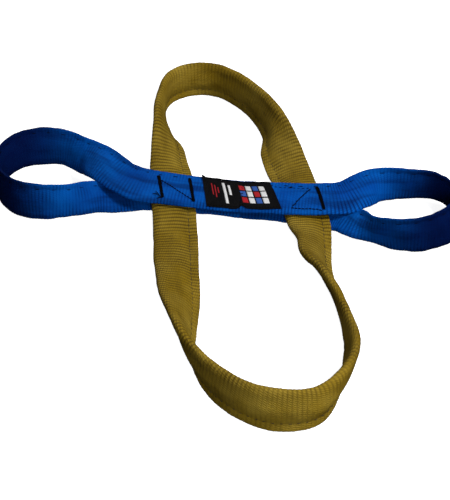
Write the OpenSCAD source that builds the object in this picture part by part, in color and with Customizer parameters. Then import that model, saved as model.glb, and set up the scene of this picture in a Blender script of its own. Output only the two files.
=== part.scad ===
// Crossed pair of round slings: an endless olive sling lies through a flattened blue one.
// The blue strap is stitched across both legs of the olive sling and ends in two open eyes.
// Millimetres, +Z up, X along the blue strap, origin under the middle of the whole outline.

/* [Olive sling] */
// Flat width of the olive jacket, its stitched edge included
olive_w = 40; // [38:0.5:41]
// Thickness of the olive jacket where it is padded
olive_t = 8; // [7.6:0.1:8]
// Width of the flat edge where the two plies are sewn together
olive_edge = 9; // [7:0.5:10]

/* [Blue sling] */
// Width of the blue jacket where it stands in the eyes
blue_w = 39; // [37:0.5:40]
// Thickness of the blue jacket where it is padded
blue_t = 6; // [5.6:0.1:6]
// Width of the flat edge where the two plies are sewn together
blue_edge = 6; // [5:0.5:7]

/* [Fabric and thread] */
// Thickness of one ply of jacket fabric
ply = 1.2; // [1:0.1:1.3]
// Clearance between a yarn core and its jacket
core_gap = 0.7; // [0.6:0.1:0.8]
// Half the thickness of the sewing thread
thread_r = 0.4; // [0.3:0.05:0.5]
// Pitch of the olive edge stitches
olive_pitch = 8.5; // [7:0.5:12]
// Pitch of the blue edge stitches
blue_pitch = 14; // [10:1:18]

/* [Label] */
// Length of the woven label along the strap
label_len = 66; // [56:1:70]
// Width of the woven label across the strap
label_w = 36; // [30:1:38]
// Thickness of the woven label
label_t = 0.8; // [0.6:0.1:1]

/* [Hidden] */

olive = [0.50, 0.41, 0.12];
olive_dark = [0.40, 0.32, 0.10];
blue = [0.02, 0.25, 0.62];
yarn = [0.90, 0.88, 0.80];
dark_thread = [0.12, 0.09, 0.10];
label_black = [0.05, 0.05, 0.05];
label_white = [0.85, 0.85, 0.85];

// From the middle of the two stitched crossings to the middle of the whole outline.
outline_mid = [-1, -41];

// Stations: [x, y, lift, lean, share of the full width]. Lift is the height above lying on the
// ground. For olive, lean turns the folded edge from level outwards (0) through up (90) to
// level inwards (180). For blue, lean does the same for the stitched edge.
// Both paths run anticlockwise seen from above.
olive_far = [
    [73, 0, 6.6, 0, 1], [65, 24, 6, 0, 1], [56, 51, 0, 6, 1], [45, 79, 0, 30, 1],
    [34, 108, 0, 62, 0.95], [16, 138, 0, 76, 0.95], [-5, 161, 0, 83, 0.95],
    [-30, 176, 0, 86, 0.95], [-56, 175, 0, 87, 0.95], [-75, 158, 0, 89, 0.95],
    [-79, 131, 0, 88, 0.95], [-75, 104, 0, 72, 0.95], [-66, 79, 0, 36, 0.97],
    [-59, 53, 0, 8, 1], [-54, 25, 5.6, 0, 1]
];
olive_near = [
    [-49, 0, 6.4, 0, 1], [-44, -24, 5.6, 0, 1], [-39, -50, 0, 0, 1], [-34, -80, 0, 5, 1],
    [-28, -110, 0, 14, 0.97], [-22, -140, 0, 30, 0.97], [-15, -171, 0, 55, 0.95],
    [-5, -202, 0, 79, 0.95], [14, -229, 0, 93, 0.95], [41, -250, 0, 102, 0.95],
    [72, -259, 0, 105, 0.97], [103, -251, 0, 100, 0.95], [121, -223, 0, 83, 0.95],
    [126, -190, 0, 75, 0.95], [121, -159, 0, 91, 0.95], [113, -130, 0, 105, 0.95],
    [102, -103, 0, 116, 0.95], [90, -77, 0, 138, 0.95], [87, -51, 0, 150, 0.88],
    [80.5, -25, 6, 178, 0.98], [73, 0, 6.6, 180, 1]
];
blue_path = [
    [10, 1, 12, 0, 1.13], [-20, 1, 13, 0, 1.13], [-48, 1, 14.8, 0, 1.13],
    [-75, 2, 14, 4, 1.1], [-97, 7.5, 16, 8, 0.99], [-119, 19, 16, 30, 0.87],
    [-140, 36.5, 5, 57, 0.88], [-161, 46.5, 2.5, 73, 0.93], [-184, 47, 0, 79, 1], [-204, 36, 0, 83, 1],
    [-214, 14, 0, 88, 1], [-209, -12, 0, 92, 1], [-190, -30, 0, 92, 1], [-164, -34, 0, 91, 1],
    [-140, -24.5, 0, 105, 0.82], [-120, -12, 0, 142, 0.77], [-105, -6.5, 0, 162, 0.84],
    [-90, -1, 0.3, 172, 0.92], [-70, 5, 0, 178, 0.97], [-48, 6, 0, 180, 0.97],
    [-20, 6, 0, 180, 0.97], [10, 5, 0, 180, 0.97], [40, 4, 0, 180, 0.97],
    [73, 2, 0, 180, 0.97], [94, -4, 0, 174, 0.97], [108, -8.5, 0, 162, 0.82],
    [121, -18, 0, 150, 0.73], [139, -31.5, 0, 87, 0.82], [161, -39, 0, 88, 0.95],
    [184, -35, 0, 93, 1], [204, -21, 0, 100, 1], [213, 3, 0, 95, 1], [206, 24, 0, 98, 1],
    [188, 34, 0, 100, 1], [164, 31.5, 1.5, 95, 0.97], [141, 27, 4.5, 68, 0.83],
    [124, 13, 13, 25, 0.86], [109, 5, 13, 12, 0.95], [92, 1, 16, 4, 1.05],
    [73, 1, 15, 0, 1.13], [40, 1, 13.4, 0, 1.13]
];

// Where one body ends and the next begins, as station numbers along each path.
far_start = 1.04;
far_end = 13.96;
left_start = 14;
left_end = 16;
near_start = 16.04;
near_end = 33.96;
lap_start = 34;
lap_mid = 35;
lap_gap = 0.03;
left_eye_start = 3.3;
left_eye_end = 17.5;
right_eye_start = 24.6;
right_eye_end = 37.4;
body_gap = 0.04;
top_joint = 40.8;

olive_rings = 2;
blue_rings = 3;

function unit(v) = v / norm(v);

// Height of a band's middle line when its lower edge rests on the ground.
function rest_height(lean, w, t) = w / 2 * abs(sin(lean)) + t / 2 * abs(cos(lean));

// A station as [x, y, z, lean, width].
function placed(s, w, t) = [s[0], s[1], s[2] + rest_height(s[3], w * s[4], t), s[3], w * s[4]];

olive_path = [for (s = concat(olive_far, olive_near)) placed(s, olive_w, olive_t)];
blue_line = [for (s = blue_path) placed(s, blue_w, blue_t)];

// Point and slope of a smooth curve through four stations, f from 0 to 1 between the middle two.
function curve(a, b, c, d, f) =
    0.5 * (2 * b + (c - a) * f + (2 * a - 5 * b + 4 * c - d) * f * f
    + (3 * b - a - 3 * c + d) * f * f * f);
function slope(a, b, c, d, f) =
    0.5 * ((c - a) + 2 * (2 * a - 5 * b + 4 * c - d) * f
    + 3 * (3 * b - a - 3 * c + d) * f * f);
function pick(path, loop, i) =
    let(n = len(path)) loop ? path[(i + 2 * n) % n] : path[max(0, min(n - 1, i))];
function four(path, loop, t) =
    let(i = floor(t)) [for (k = [-1:2]) pick(path, loop, i + k)];

// A band's cross frame at station number t: [point, across, normal, width].
// Across runs from the stitched edge towards the folded edge when seam is -1.
function frame_at(path, loop, t) =
    let(
        p = four(path, loop, t), f = t - floor(t),
        s = curve(p[0], p[1], p[2], p[3], f), d = slope(p[0], p[1], p[2], p[3], f),
        along = unit([d[0], d[1], d[2]]),
        out = unit(cross(along, [0, 0, 1])), up = cross(out, along),
        across = cos(s[3]) * out + sin(s[3]) * up
    )
    [[s[0], s[1], s[2]], across, cross(along, across), s[4]];

function in_space(f, uv) = f[0] + uv[0] * f[1] + uv[1] * f[2];
function steps(t0, t1, per) = let(n = ceil((t1 - t0) * per)) [for (i = [0:n]) t0 + (t1 - t0) * i / n];

// Rounded lens outline of the padded part, centred on mid.
function lens(a, mid, half_w, half_t) =
    [mid + half_w * sign(cos(a)) * pow(abs(cos(a)), 0.67),
     half_t * sign(sin(a)) * pow(abs(sin(a)), 0.9)];
function mirrored(half, tip) =
    concat(half, [tip], [for (i = [len(half) - 1:-1:0]) [half[i][0], -half[i][1]]]);

outer_angles = [150, 125, 92, 60, 36, 16];
inner_angles = [174, 163, 148, 122, 92, 60, 36, 16];
core_angles = [0:40:320];

// Outside of a jacket: flat sewn edge on the left, padded tube, rounded fold on the right.
function jacket_outside(w, t, edge) =
    let(h = w / 2, root = edge - h, half = (w - edge) / 2)
    mirrored(concat([[-h, ply], [root, ply]],
        [for (a = outer_angles) lens(a, root + half, half, t / 2)]), [h, 0]);
// Inside of a jacket, one ply in from the outside.
function jacket_inside(w, t, edge) =
    let(half = (w - edge) / 2 - 1.2 * ply, mid = edge - w / 2 + (w - edge) / 2 + 0.2 * ply)
    mirrored([for (a = inner_angles) lens(a, mid, half, t / 2 - ply)], [mid + half, 0]);
// Yarn core, a clearance in from the inside.
function core_outline(w, t, edge) =
    let(half = 0.92 * (w - edge) / 2 - 1.2 * ply - core_gap, mid = edge / 2 + 0.2 * ply)
    [for (a = core_angles) [mid + half * cos(a), (t / 2 - ply - core_gap) * sin(a)]];

function turned(outline, seam) = [for (p = outline) [-seam * p[0], p[1]]];

// Side faces of a stack of rings, the first ring's points starting at base.
function sides(n, m, base, inward) = [
    for (i = [0:m - 2], j = [0:n - 1])
        let(k = (j + 1) % n, a = base + i * n + j, b = base + i * n + k)
        each inward ? [[a, b, b + n], [a, b + n, a + n]] : [[a, b + n, b], [a, a + n, b + n]]
];
// Flat end between an outer and an inner ring.
function annulus(n, o, q, inward) = [
    for (j = [0:n - 1])
        let(k = (j + 1) % n)
        each inward ? [[o + j, q + k, q + j], [o + j, o + k, q + k]]
                    : [[o + j, q + j, q + k], [o + j, q + k, o + k]]
];

// Open-ended tube between two stacks of rings.
module tube(outer, inner, mirror_faces) {
    n = len(outer[0]);
    m = len(outer);
    q = n * m;
    polyhedron(
        points = concat([for (r = outer) each r], [for (r = inner) each r]),
        faces = concat(sides(n, m, 0, mirror_faces), sides(n, m, q, !mirror_faces),
            annulus(n, 0, q, !mirror_faces),
            annulus(n, (m - 1) * n, q + (m - 1) * n, mirror_faces)));
}

// Closed solid through a stack of convex rings.
module stack(rings, mirror_faces = false) {
    n = len(rings[0]);
    m = len(rings);
    first = [for (j = [0:n - 1]) j];
    last = [for (j = [n - 1:-1:0]) (m - 1) * n + j];
    function way(f) = [for (i = [len(f) - 1:-1:0]) f[i]];
    polyhedron(
        points = [for (r = rings) each r],
        faces = concat(sides(n, m, 0, mirror_faces),
            [mirror_faces ? way(first) : first, mirror_faces ? way(last) : last]));
}

function rings_of(frames, outlines) =
    [for (i = [0:len(frames) - 1]) [for (p = outlines[i]) in_space(frames[i], p)]];

// One length of sling jacket from station t0 to t1.
module jacket(path, loop, seam, t, edge, t0, t1, per) {
    frames = [for (s = steps(t0, t1, per)) frame_at(path, loop, s)];
    tube(
        rings_of(frames, [for (f = frames) turned(jacket_outside(f[3], t, edge), seam)]),
        rings_of(frames, [for (f = frames) turned(jacket_inside(f[3], t, edge), seam)]),
        seam < 0);
}

// The yarn hank inside one length of jacket.
module core(path, loop, seam, t, edge, t0, t1, per) {
    frames = [for (s = steps(t0, t1, per)) frame_at(path, loop, s)];
    stack(rings_of(frames, [for (f = frames) turned(core_outline(f[3], t, edge), seam)]),
        seam > 0);
}

// Thread with a square section through a list of [point, sideways direction].
module thread(path_points, r = thread_r) {
    n = len(path_points);
    rings = [
        for (i = [0:n - 1])
            let(
                p = path_points[i], side = p[1],
                along = unit(path_points[min(i + 1, n - 1)][0] - path_points[max(i - 1, 0)][0]),
                up = unit(cross(side, along)), across = cross(along, up)
            )
            [for (c = [[-1, -1], [-1, 1], [1, 1], [1, -1]]) p[0] + r * (c[0] * across + c[1] * up)]
    ];
    stack(rings);
}

// Running stitch that dives through the sewn edge between station t0 and t1.
module edge_thread(path, loop, seam, edge, pitch, t0, t1) {
    long = norm(frame_at(path, loop, (t0 + t1) / 2 + 0.5)[0]
        - frame_at(path, loop, (t0 + t1) / 2 - 0.5)[0]);
    count = max(2, round((t1 - t0) * long / pitch));
    pitch_t = (t1 - t0) / count;
    beat = [[0.10, 1], [0.60, 1], [0.85, -1]];
    thread([
        for (i = [0:count - 1], b = beat)
            let(
                f = frame_at(path, loop, t0 + (i + b[0]) * pitch_t),
                u = seam * (f[3] / 2 - 0.72 * edge)
            )
            [in_space(f, [u, b[1] * (ply + 0.7 * thread_r)]), f[1]]
    ]);
}

// Station number on the top layer of the blue strap for a place along it.
top_stations = [[-119, 5], [-97, 4], [-75, 3], [-48, 2], [-20, 1], [10, 0]];
top_stations_right = [[10, 41], [40, 40], [73, 39], [92, 38], [109, 37]];
function top_t(x) = x < 10 ? lookup(x, top_stations) : lookup(x, top_stations_right);
// Height of the padded face above the band's middle plane, u measured towards the stitched edge.
function face_height(w, t, edge, u) =
    let(half = (w - edge) / 2, q = min(1, abs((u + edge / 2) / half)))
    max(ply, t / 2 * pow(max(0, 1 - pow(q, 3)), 0.45));
// A point on top of the blue strap, raised by h, with the direction across the strap.
function on_strap(x, y, h) =
    let(f = frame_at(blue_line, true, top_t(x)), u = y - f[0][1])
    [in_space(f, [u, -h - face_height(f[3], blue_t, blue_edge, u)]), f[1]];
function between(a, b, f) = a + (b - a) * f;

// Strip of sewing on top of the strap from a to b, with half width r and height above the fabric.
module sewn_line(a, b, r, h, count = 8, base = -0.4) {
    heading = unit([b[0] - a[0], b[1] - a[1], 0]);
    side = [-heading[1], heading[0], 0];
    stack([
        for (i = [0:count])
            let(p = between(a, b, i / count), top = on_strap(p[0], p[1], h)[0],
                low = on_strap(p[0], p[1], base)[0])
            [low - r * side, low + r * side, top + r * side, top - r * side]
    ]);
}

module olive_length(t0, t1) {
    color(olive) jacket(olive_path, false, -1, olive_t, olive_edge, t0, t1, olive_rings);
}
module olive_yarn(t0, t1) {
    color(yarn) core(olive_path, false, -1, olive_t, olive_edge, t0, t1, olive_rings);
}
module olive_sewing(t0, t1) {
    color(olive_dark) edge_thread(olive_path, false, -1, olive_edge, olive_pitch, t0, t1);
}
module blue_length(t0, t1) {
    color(blue) jacket(blue_line, true, 1, blue_t, blue_edge, t0, t1, blue_rings);
}
module blue_yarn(t0, t1) {
    color(yarn) core(blue_line, true, 1, blue_t, blue_edge, t0, t1, blue_rings);
}
module blue_sewing(t0, t1) {
    color(dark_thread) edge_thread(blue_line, true, 1, blue_edge, blue_pitch, t0, t1);
}

module olive_jacket_far() { olive_length(far_start, far_end); }
module olive_core_far() { olive_yarn(far_start, far_end); }
module olive_thread_far() { olive_sewing(far_start, far_end); }
module olive_jacket_near() { olive_length(near_start, near_end); }
module olive_core_near() { olive_yarn(near_start, near_end); }
module olive_thread_near() { olive_sewing(near_start, near_end); }
module olive_jacket_left() { olive_length(left_start, left_end); }
module olive_core_left() { olive_yarn(left_start, left_end); }
module olive_thread_left() { olive_sewing(left_start, left_end); }

// The two ends of the olive jacket meet under the strap, one of them turned over.
module olive_jacket_lap_far() { olive_length(0 + lap_gap, far_start - body_gap); }
module olive_jacket_lap_near() { olive_length(lap_start, lap_mid - lap_gap); }
module olive_core_right() {
    // The turned end counts its width and thickness backwards, so its rings are reversed.
    frames = concat(
        [for (t = steps(lap_start, lap_mid - lap_gap, 4)) [frame_at(olive_path, false, t), -1]],
        [for (t = steps(lap_gap, far_start - body_gap, 4)) [frame_at(olive_path, false, t), 1]]);
    // Room shared by the two tubes where they meet, and the room away from there.
    shared = olive_w / 2 - olive_edge - 1.4 * ply - core_gap;
    full = 0.92 * (olive_w - olive_edge) / 2 - 1.2 * ply - core_gap;
    color(yarn)
        stack([
            for (f = frames)
                let(k = min(1, abs(f[0][0][1]) / 20),
                    mid = k * (olive_edge / 2 + 0.2 * ply), half = between(shared, full, k))
                [for (a = core_angles)
                    in_space(f[0], [f[1] * (f[1] * mid + half * cos(a)),
                        f[1] * (olive_t / 2 - ply - core_gap) * sin(a)])]
        ]);
}
// Three rows of closing stitches across the joint of the olive jacket.
module olive_lap_stitch() {
    f = frame_at(olive_path, false, 0);
    color(olive_dark)
        for (row = [-8, 0, 8], face = [-1, 1])
            translate([f[0][0] + row, f[0][1], f[0][2] + face * (olive_t / 2 - 0.5)])
                cube([2 * thread_r, 7, 2 * thread_r], center = true);
}

module blue_jacket_left_eye() { blue_length(left_eye_start + body_gap, left_eye_end - body_gap); }
module blue_core_left_eye() { blue_yarn(left_eye_start + body_gap, left_eye_end - body_gap); }
module blue_thread_left_eye() { blue_sewing(left_eye_start + body_gap, left_eye_end - body_gap); }
module blue_jacket_right_eye() { blue_length(right_eye_start + body_gap, right_eye_end - body_gap); }
module blue_core_right_eye() { blue_yarn(right_eye_start + body_gap, right_eye_end - body_gap); }
module blue_thread_right_eye() { blue_sewing(right_eye_start + body_gap, right_eye_end - body_gap); }
module blue_jacket_top_left() { blue_length(top_joint + lap_gap, 41 + left_eye_start); }
module blue_jacket_top_right() { blue_length(right_eye_end, top_joint - lap_gap); }
module blue_core_top() { blue_yarn(right_eye_end, 41 + left_eye_start); }
module blue_thread_top() { blue_sewing(right_eye_end, 41 + left_eye_start); }
module blue_jacket_bottom() { blue_length(left_eye_end, right_eye_start); }
module blue_core_bottom() { blue_yarn(left_eye_end, right_eye_start); }
module blue_thread_bottom() { blue_sewing(left_eye_end, right_eye_start); }
// Closing stitches of the blue jacket, hidden by the label.
joint_x = 16;
module blue_lap_stitch() {
    color(dark_thread)
        for (y = [-11, -4, 3, 10])
            sewn_line([joint_x - 3, y], [joint_x + 3, y], thread_r, 0.3, 2);
}

// Bar tacks and cross stitches that hold the strap on the olive legs.
tack_r = 1.1;
tack_h = 0.9;
line_r = 0.5;
line_h = 0.5;
left_outer = [[-65, 15], [-57, -13]];
left_inner = [[-36, 16.5], [-27, -16]];
right_bar = [[83, 16], [92, -13]];
module bar_tack_left_outer() { color(dark_thread) sewn_line(left_outer[0], left_outer[1], tack_r, tack_h); }
module bar_tack_left_inner() { color(dark_thread) sewn_line(left_inner[0], left_inner[1], tack_r, tack_h); }
module bar_tack_right() { color(dark_thread) sewn_line(right_bar[0], right_bar[1], tack_r, tack_h); }
module cross_stitch_left() {
    color(dark_thread) sewn_line([-61, 8], [-31, -13.5], line_r, line_h);
}
module cross_stitch_right() {
    color(dark_thread) {
        sewn_line([78, 14.5], [60, -7], line_r, line_h);
        sewn_line([44, 16.5], [80.5, 16.5], line_r, line_h);
        sewn_line([57.5, -10], [89, -12.5], line_r, line_h);
    }
}
module thread_tails() {
    color(dark_thread) {
        sewn_line([-64.5, -5], [-72, -6.5], line_r, line_h, 3);
        sewn_line([-65.5, -8], [-70, -1.5], line_r, line_h, 3);
        sewn_line([58.5, 14], [58, 19], line_r, line_h, 3);
    }
}

// The label is a leaning rectangle sewn over the joint of the blue jacket.
label_mid = [15, 1];
label_skew = 0.27;
label_rise = 0.15;
function label_xy(a, b) =
    label_mid + [a * label_len / 2 - b * label_skew * label_w / 2, b * label_w / 2];
function label_point(a, b, h) = on_strap(label_xy(a, b)[0], label_xy(a, b)[1], h)[0];
label_cols = 12;
label_rows = 6;

// Sheet between two heights over a part of the label, a and b running from -1 to 1.
module label_sheet(a0, a1, b0, b1, low, high, cols, rows) {
    stack([
        for (i = [0:cols])
            let(a = between(a0, a1, i / cols))
            concat([for (j = [0:rows]) label_point(a, between(b0, b1, j / rows), low)],
                [for (j = [rows:-1:0]) label_point(a, between(b0, b1, j / rows), high)])
    ]);
}
module label() {
    color(label_black) label_sheet(-1, 1, -1, 1, -label_rise, label_t, label_cols, label_rows);
}
// Plain woven marks: short bars on the left and an empty chart of wide bars on the right.
module label_bar(a, b0, b1, r) {
    sewn_line(label_xy(a, b0), label_xy(a, b1), r, label_t + 0.2, 6, label_t - 0.5);
}
module label_print() {
    color(label_white) {
        for (i = [0:4]) label_bar(-0.84 + 0.14 * i, -0.66 + 0.1 * (i % 2), 0.68, 0.8);
        for (a = [0.02, 0.3, 0.58, 0.86]) label_bar(a, -0.74, 0.74, 1.4);
    }
}
module label_stitch() {
    low = label_t - 0.15;
    high = label_t + 0.2;
    color(dark_thread)
        for (b = [-0.96, 0.93]) label_sheet(-0.97, 0.97, b, b + 0.03, low, high, label_cols, 1);
}

module whole() { translate([-outline_mid[0], -outline_mid[1], 0]) children(); }

whole() olive_jacket_far();
whole() olive_core_far();
whole() olive_thread_far();
whole() olive_jacket_near();
whole() olive_core_near();
whole() olive_thread_near();
whole() olive_jacket_left();
whole() olive_core_left();
whole() olive_thread_left();
whole() olive_jacket_lap_far();
whole() olive_jacket_lap_near();
whole() olive_core_right();
whole() olive_lap_stitch();
whole() blue_jacket_left_eye();
whole() blue_core_left_eye();
whole() blue_thread_left_eye();
whole() blue_jacket_right_eye();
whole() blue_core_right_eye();
whole() blue_thread_right_eye();
whole() blue_jacket_top_left();
whole() blue_jacket_top_right();
whole() blue_core_top();
whole() blue_thread_top();
whole() blue_jacket_bottom();
whole() blue_core_bottom();
whole() blue_thread_bottom();
whole() blue_lap_stitch();
whole() bar_tack_left_outer();
whole() bar_tack_left_inner();
whole() bar_tack_right();
whole() cross_stitch_left();
whole() cross_stitch_right();
whole() thread_tails();
whole() label();
whole() label_print();
whole() label_stitch();
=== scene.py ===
"""Blender scene of the crossed pair of round slings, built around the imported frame.

All shapes are worked out in millimetres in the strap's own frame, whose X runs along the
blue strap, and are moved to the frame of the CAD model, in metres, when a mesh is made.
"""
import math

import bpy
import numpy as np
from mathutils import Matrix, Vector
from mathutils.bvhtree import BVHTree


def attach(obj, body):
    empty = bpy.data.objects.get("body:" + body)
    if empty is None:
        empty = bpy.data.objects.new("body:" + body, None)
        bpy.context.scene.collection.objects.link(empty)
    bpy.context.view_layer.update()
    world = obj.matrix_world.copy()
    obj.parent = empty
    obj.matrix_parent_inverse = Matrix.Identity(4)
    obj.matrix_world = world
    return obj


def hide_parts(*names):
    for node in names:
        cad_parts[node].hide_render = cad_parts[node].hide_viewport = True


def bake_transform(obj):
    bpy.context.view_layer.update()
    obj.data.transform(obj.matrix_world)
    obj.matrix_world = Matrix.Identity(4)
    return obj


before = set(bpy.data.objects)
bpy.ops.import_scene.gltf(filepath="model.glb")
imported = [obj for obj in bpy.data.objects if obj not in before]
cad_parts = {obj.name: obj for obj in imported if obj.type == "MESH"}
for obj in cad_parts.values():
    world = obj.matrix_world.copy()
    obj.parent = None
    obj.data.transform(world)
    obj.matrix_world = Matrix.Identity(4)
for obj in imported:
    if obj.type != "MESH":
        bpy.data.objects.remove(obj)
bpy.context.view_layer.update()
RNG = np.random.default_rng(7)

MM = 0.001
STRAP_ORIGIN = np.array([1.0, 41.0, 0.0])  # the strap's middle in the CAD frame, mm


def to_frame(p):
    """Strap millimetres to CAD-frame metres."""
    return (np.asarray(p, float) + STRAP_ORIGIN) * MM


# ---------------------------------------------------------------- camera and stage

CAM_TARGET = np.array([7.0, -57.0, 0.0])
CAM_DISTANCE = 1260.0
CAM_ELEVATION = math.radians(42.0)
CAM_AZIMUTH = math.radians(7.0)
FOCAL_PX, FRAME_H = 1400.0, 500.0


def add_camera():
    forward = np.array([
        -math.sin(CAM_AZIMUTH) * math.cos(CAM_ELEVATION),
        math.cos(CAM_AZIMUTH) * math.cos(CAM_ELEVATION),
        -math.sin(CAM_ELEVATION),
    ])
    data = bpy.data.cameras.new("camera")
    data.sensor_fit = "VERTICAL"
    data.sensor_height = 36.0
    data.lens = FOCAL_PX / FRAME_H * data.sensor_height
    data.clip_start, data.clip_end = 0.01, 50.0
    cam = bpy.data.objects.new("camera", data)
    cam.location = to_frame(CAM_TARGET - CAM_DISTANCE * forward)
    cam.rotation_euler = Vector(forward).to_track_quat("-Z", "Y").to_euler()
    bpy.context.collection.objects.link(cam)
    bpy.context.scene.camera = cam


def add_light(name, place, target, size, power, colour):
    data = bpy.data.lights.new(name, "AREA")
    data.shape = "DISK"
    data.size = size
    data.energy = power
    data.color = colour
    lamp = bpy.data.objects.new(name, data)
    lamp.location = place
    lamp.rotation_euler = (Vector(target) - Vector(place)).to_track_quat("-Z", "Y").to_euler()
    bpy.context.collection.objects.link(lamp)


def add_stage():
    scene = bpy.context.scene
    scene.view_settings.view_transform = "Standard"
    world = bpy.data.worlds.new("studio")
    world.use_nodes = True
    world.node_tree.nodes["Background"].inputs["Color"].default_value = (0.95, 0.97, 1.0, 1)
    world.node_tree.nodes["Background"].inputs["Strength"].default_value = 0.04
    scene.world = world
    middle = to_frame([0, -30, 0])
    add_light("key", (0.85, -0.15, 1.20), middle, 0.36, 19.5, (1.0, 0.98, 0.95))
    add_light("front", (0.35, -1.30, 0.85), middle, 0.5, 11.5, (0.97, 0.98, 1.0))
    add_light("back", (-0.70, 1.10, 0.80), middle, 0.6, 7.0, (0.97, 0.98, 1.0))
    # Paper, flat under the sling and curved up to a wall all round, far outside the lights.
    profile = [(0.0, 0.0), (3.0, 0.0), (4.0, 0.15), (4.8, 0.7), (5.2, 1.6), (5.3, 5.0), (0.0, 5.5)]
    sides = 48
    turn = [2 * math.pi * k / sides for k in range(sides)]
    verts, faces = [], []
    for r, z in profile:
        verts += [(r * math.cos(a), r * math.sin(a), z) for a in turn]
    for i in range(len(profile) - 1):
        for k in range(sides):
            m = (k + 1) % sides
            faces.append((i * sides + k, i * sides + m, (i + 1) * sides + m, (i + 1) * sides + k))
    mesh = bpy.data.meshes.new("floor")
    mesh.from_pydata(verts, [], faces)
    mesh.polygons.foreach_set("use_smooth", [True] * len(faces))
    floor = bpy.data.objects.new("floor", mesh)
    floor.location.z = -0.0004
    bpy.context.collection.objects.link(floor)
    mat = bpy.data.materials.new("floor_paper")
    mat.use_nodes = True
    bsdf = mat.node_tree.nodes["Principled BSDF"]
    bsdf.inputs["Base Color"].default_value = (0.80, 0.80, 0.80, 1)
    bsdf.inputs["Roughness"].default_value = 0.9
    bsdf.inputs["Emission Color"].default_value = (1, 1, 1, 1)
    bsdf.inputs["Emission Strength"].default_value = 0.90
    mesh.materials.append(mat)
    floor.visible_diffuse = floor.visible_glossy = False


# ---------------------------------------------------------------- paths of the two slings

# Stations: x, y, lift above lying on the ground, lean of the folded (olive) or stitched
# (blue) edge from level outwards through up (90) to level inwards (180), share of the full
# width, and thickness of the padded part. Both run anticlockwise seen from above.
OLIVE_W, OLIVE_EDGE = 40.0, 7.4
OLIVE = np.array([
    [73, 0, 6.6, 0, 1, 8.0], [66.2, 24, 6, 0, 0.94, 8.2], [56, 51, 0, 6, 1, 8.8], [44, 79, 0, 25, 1, 9],
    [34, 108, 0, 62, 0.95, 9], [16, 138, 0, 76, 0.95, 9], [-5, 161, 0, 83, 0.95, 9],
    [-30, 176, 0, 86, 0.95, 9], [-56, 175, 0, 87, 0.95, 9], [-75, 158, 0, 89, 0.95, 9],
    [-79, 131, 0, 88, 0.95, 9], [-75, 104, 0, 74, 0.95, 9], [-66, 79, 0, 47, 0.97, 9],
    [-60.5, 53, 0, 23, 0.94, 8.8], [-54, 25, 5.6, 0, 1, 8.2],
    [-49, 0, 6.4, 0, 1, 8.0], [-44, -24, 5.6, 0, 1, 8.2], [-39, -50, 0, 0, 1, 8.8],
    [-34, -80, 0, 5, 1, 9], [-28, -110, 0, 14, 0.97, 9], [-22, -140, 0, 30, 0.97, 9],
    [-15, -171, 0, 55, 0.95, 9], [-5, -202, 0, 79, 0.95, 9], [14, -229, 0, 93, 0.95, 9],
    [41, -250, 0, 102, 0.95, 9], [72, -259, 0, 105, 0.97, 9], [103, -251, 0, 100, 0.95, 9],
    [121, -223, 0, 83, 0.95, 9], [126, -190, 0, 75, 0.95, 9], [121, -159, 0, 91, 0.95, 9],
    [113, -130, 0, 105, 0.95, 9], [102, -103, 0, 116, 0.95, 9], [90, -77, 0, 138, 0.95, 9],
    [86, -51, 0, 151, 0.90, 8.8], [80, -25, 5.2, 176, 0.98, 8.2], [73, 0, 6.6, 180, 1, 8.0],
], float)
BLUE_W, BLUE_EDGE = 39.0, 4.8
BLUE = np.array([
    [10, 1, 12, 0, 1.13, 6], [-20, 1, 13, 0, 1.13, 6], [-48, 1, 14.8, 0, 1.13, 6],
    [-75, 2, 14, 4, 1.1, 6.4], [-97, 7.5, 16, 8, 0.99, 6.8], [-119, 19, 16, 30, 0.87, 7],
    [-140, 36.5, 5, 57, 0.88, 7], [-161, 46.5, 2.5, 73, 0.93, 7], [-184, 47, 0, 79, 1, 7],
    [-204, 36, 0, 83, 1, 7], [-214, 14, 0, 88, 1, 7], [-209, -12, 0, 92, 1, 7],
    [-190, -30, 0, 94, 1, 7], [-164, -34, 0, 94, 1, 7], [-140, -24.5, 0, 105, 0.82, 7],
    [-120, -12, 0, 142, 0.77, 7], [-105, -6.5, 0, 162, 0.84, 6.8], [-90, -1, 0.3, 172, 0.92, 6.4],
    [-70, 5, 0, 178, 0.97, 6], [-48, 6, 0, 180, 0.97, 6], [-20, 6, 0, 180, 0.97, 6],
    [10, 5, 0, 180, 0.97, 6], [40, 4, 0, 180, 0.97, 6], [73, 2, 0, 180, 0.97, 6],
    [94, -4, 0, 174, 0.97, 6.4], [108, -8.5, 0, 162, 0.82, 6.8], [121, -18, 0, 145, 0.72, 7],
    [139, -29, 0, 96, 0.71, 7], [161, -39, 0, 88, 0.95, 7], [184, -35, 0, 93, 1, 7],
    [204, -21, 0, 100, 1, 7], [213, 3, 1, 95, 0.94, 7], [206, 22, 2, 98, 0.90, 7],
    [189, 33, 1, 100, 0.95, 7], [164, 31.5, 1.5, 95, 0.97, 7], [141, 27, 4.5, 68, 0.83, 7],
    [124, 13, 13, 25, 0.86, 6.8], [109, 5, 13, 12, 0.95, 6.6], [92, 1, 16, 4, 1.05, 6.4],
    [73, 1, 15, 0, 1.13, 6], [40, 1, 13.4, 0, 1.13, 6],
], float)


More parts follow.
